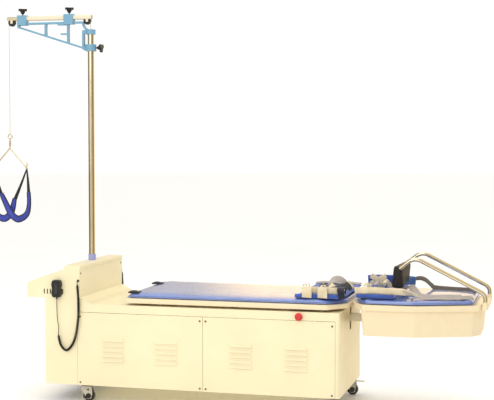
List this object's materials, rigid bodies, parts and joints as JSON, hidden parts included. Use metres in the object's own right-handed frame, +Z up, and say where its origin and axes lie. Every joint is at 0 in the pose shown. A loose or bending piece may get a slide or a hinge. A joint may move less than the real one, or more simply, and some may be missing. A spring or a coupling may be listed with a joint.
{
  "type": "traction bed",
  "caption": "Powered traction bed: cabinet on castors, sliding deck, tilting leg section with a hinged leg rest, body belts, and a mast with an arm, rope and head sling.",
  "frame": {"origin": "middle of the whole part on the floor", "axes": "+X towards the foot end, +Y across the bed to the far side, +Z up"},
  "size_m": [2.8149, 0.696, 2.1415],
  "materials": {
    "cream_paint": "satin",
    "frame_steel": "matte",
    "panel_plastic": "satin",
    "tray_shell": "satin",
    "vinyl_blue": "satin",
    "belt_blue": "matte",
    "sling_blue": "matte",
    "chrome_tube": "polished",
    "bright_steel": "satin",
    "socket_paint": "satin",
    "black_plastic": "satin",
    "key_plastic": "matte",
    "cord_rubber": "satin",
    "actuator_grey": "matte",
    "arm_paint": "satin",
    "pad_black": "matte",
    "bracket_blue": "satin",
    "arm_tube_paint": "satin",
    "rope_ivory": "matte",
    "estop_red": "glossy",
    "castor_cream": "satin",
    "castor_wheel": "matte"
  },
  "bodies": {
    "cabinet": {"base_frame": "frame_steel", "top_cover": "cream_paint", "head_housing": "cream_paint", "foot_end_cover": "cream_paint", "side_panels": "cream_paint", "console_cap": "cream_paint", "console_front_panel": "cream_paint", "control_panel": "panel_plastic", "mast_socket": "socket_paint", "mast": "chrome_tube", "cord_glands": "black_plastic", "winch_motor": "frame_steel", "rope_in_mast": "rope_ivory", "deck_guide_rails": "bright_steel", "actuators": "actuator_grey", "leg_pivot": "frame_steel", "power_unit": "black_plastic", "panel_screws": "bright_steel", "handset_cord_near": "cord_rubber", "handset_coil_near": "cord_rubber", "handset_cord_far": "cord_rubber", "handset_coil_far": "cord_rubber"},
    "winch_drum": {"winch_drum": "bright_steel"},
    "deck": {"deck_tray": "tray_shell", "deck_cushion": "vinyl_blue", "deck_bearing_blocks": "bright_steel", "deck_actuator_rod": "bright_steel", "thoracic_belt": "belt_blue"},
    "leg_section": {"leg_tray": "tray_shell", "leg_cushion": "vinyl_blue", "leg_arm": "arm_paint", "pelvic_belt": "belt_blue"},
    "tilt_rod": {"tilt_rod": "bright_steel"},
    "leg_rest": {"leg_rest_frame": "chrome_tube", "leg_rest_pad": "pad_black"},
    "arm": {"arm_bracket": "bracket_blue", "arm_tube": "arm_tube_paint", "rope_in_arm": "rope_ivory"},
    "arm_nose": {"arm_nose": "chrome_tube", "rope_drop": "rope_ivory"},
    "pulley_front": {"pulley_front": "black_plastic"},
    "pulley_rear": {"pulley_rear": "black_plastic"},
    "clamp_knob_front": {"clamp_knob_front": "black_plastic"},
    "clamp_knob_rear": {"clamp_knob_rear": "black_plastic"},
    "swivel_knob": {"swivel_knob": "black_plastic"},
    "sling": {"spreader": "chrome_tube", "head_sling": "sling_blue"},
    "estop": {"estop_button": "estop_red"},
    "handset_near": {"handset_near": "black_plastic"},
    "handset_far": {"handset_far": "black_plastic"},
    "keys_near": {"handset_keys_near": "key_plastic"},
    "keys_far": {"handset_keys_far": "key_plastic"},
    "castor_1": {"castor_fork_1": "castor_cream"},
    "wheels_1": {"castor_wheel_1": "castor_wheel"},
    "castor_2": {"castor_fork_2": "castor_cream"},
    "wheels_2": {"castor_wheel_2": "castor_wheel"},
    "castor_3": {"castor_fork_3": "castor_cream"},
    "wheels_3": {"castor_wheel_3": "castor_wheel"},
    "castor_4": {"castor_fork_4": "castor_cream"},
    "wheels_4": {"castor_wheel_4": "castor_wheel"}
  },
  "joints": [
    {"name": "deck_slide", "type": "slide", "parent": "cabinet", "child": "deck", "axis": [-1, 0, 0], "range_m": [0, 0.15]},
    {"name": "leg_tilt", "type": "hinge", "parent": "cabinet", "child": "leg_section", "pos_m": [0.525, 0, 0.47], "axis": [0, -1, 0], "range_deg": [-15, 6]},
    {"name": "tilt_rod_slide", "type": "slide", "parent": "cabinet", "child": "tilt_rod", "axis": [0, 0, 1], "range_m": [-0.0131, 0.0328]},
    {"name": "leg_rest_hinge", "type": "hinge", "parent": "leg_section", "child": "leg_rest", "pos_m": [1.399, 0, 0.584], "axis": [0, 1, 0], "range_deg": [0, 60]},
    {"name": "arm_swivel", "type": "hinge", "parent": "cabinet", "child": "arm", "pos_m": [-0.777, 0, 1.95], "axis": [0, 0, 1], "range_deg": [-120, 120]},
    {"name": "arm_reach", "type": "slide", "parent": "arm", "child": "arm_nose", "axis": [-1, 0, 0], "range_m": [0, 0.06]},
    {"name": "front_pulley_spin", "type": "hinge", "parent": "arm_nose", "child": "pulley_front", "pos_m": [-1.252, 0, 2.067], "axis": [0, -1, 0], "continuous": true},
    {"name": "rear_pulley_spin", "type": "hinge", "parent": "arm", "child": "pulley_rear", "pos_m": [-0.7965, 0, 2.067], "axis": [0, -1, 0], "continuous": true},
    {"name": "front_clamp_knob_turn", "type": "hinge", "parent": "arm", "child": "clamp_knob_front", "pos_m": [-1.187, 0, 2.12], "axis": [0, 0, 1], "continuous": true},
    {"name": "rear_clamp_knob_turn", "type": "hinge", "parent": "arm", "child": "clamp_knob_rear", "pos_m": [-0.905, 0, 2.12], "axis": [0, 0, 1], "continuous": true},
    {"name": "swivel_knob_turn", "type": "hinge", "parent": "arm", "child": "swivel_knob", "pos_m": [-0.74, 0, 1.916], "axis": [1, 0, 0], "continuous": true},
    {"name": "sling_lift", "type": "slide", "parent": "arm_nose", "child": "sling", "axis": [0, 0, 1], "range_m": [0, 0.3], "deforming": ["rope_drop"]},
    {"name": "winch_spin", "type": "hinge", "parent": "cabinet", "child": "winch_drum", "pos_m": [-0.804, 0, 0.33], "axis": [0, -1, 0], "continuous": true},
    {"name": "estop_press", "type": "slide", "parent": "cabinet", "child": "estop", "axis": [0, 1, 0], "range_m": [0, 0.004], "stiffness_N_per_m": 600},
    {"name": "handset_near_lift", "type": "slide", "parent": "cabinet", "child": "handset_near", "axis": [0, 0, 1], "range_m": [0, 0.025]},
    {"name": "handset_far_lift", "type": "slide", "parent": "cabinet", "child": "handset_far", "axis": [0, 0, 1], "range_m": [0, 0.025]},
    {"name": "keys_near_rock", "type": "hinge", "parent": "handset_near", "child": "keys_near", "pos_m": [-0.846, -0.343, 0.611], "axis": [1, 0, 0], "range_deg": [-3, 3], "stiffness_Nm_per_rad": 0.4},
    {"name": "keys_far_rock", "type": "hinge", "parent": "handset_far", "child": "keys_far", "pos_m": [-0.846, 0.343, 0.611], "axis": [1, 0, 0], "range_deg": [-3, 3], "stiffness_Nm_per_rad": 0.4},
    {"name": "castor_1_swivel", "type": "hinge", "parent": "cabinet", "child": "castor_1", "pos_m": [-0.72, -0.262, 0.09], "axis": [0, 0, 1], "continuous": true},
    {"name": "castor_1_roll", "type": "hinge", "parent": "castor_1", "child": "wheels_1", "pos_m": [-0.69, -0.262, 0.03], "axis": [0, 1, 0], "continuous": true},
    {"name": "castor_2_swivel", "type": "hinge", "parent": "cabinet", "child": "castor_2", "pos_m": [-0.72, 0.262, 0.09], "axis": [0, 0, 1], "continuous": true},
    {"name": "castor_2_roll", "type": "hinge", "parent": "castor_2", "child": "wheels_2", "pos_m": [-0.69, 0.262, 0.03], "axis": [0, 1, 0], "continuous": true},
    {"name": "castor_3_swivel", "type": "hinge", "parent": "cabinet", "child": "castor_3", "pos_m": [0.625, -0.262, 0.09], "axis": [0, 0, 1], "continuous": true},
    {"name": "castor_3_roll", "type": "hinge", "parent": "castor_3", "child": "wheels_3", "pos_m": [0.655, -0.262, 0.03], "axis": [0, 1, 0], "continuous": true},
    {"name": "castor_4_swivel", "type": "hinge", "parent": "cabinet", "child": "castor_4", "pos_m": [0.625, 0.262, 0.09], "axis": [0, 0, 1], "continuous": true},
    {"name": "castor_4_roll", "type": "hinge", "parent": "castor_4", "child": "wheels_4", "pos_m": [0.655, 0.262, 0.03], "axis": [0, 1, 0], "continuous": true}
  ],
  "couplings": [
    {"joint": "tilt_rod_slide", "follows": "leg_tilt", "m_per_rad": -0.125},
    {"joint": "front_pulley_spin", "follows": "sling_lift", "rad_per_m": 51.282},
    {"joint": "rear_pulley_spin", "follows": "sling_lift", "rad_per_m": 51.282},
    {"joint": "winch_spin", "follows": "sling_lift", "rad_per_m": 37.037}
  ]
}
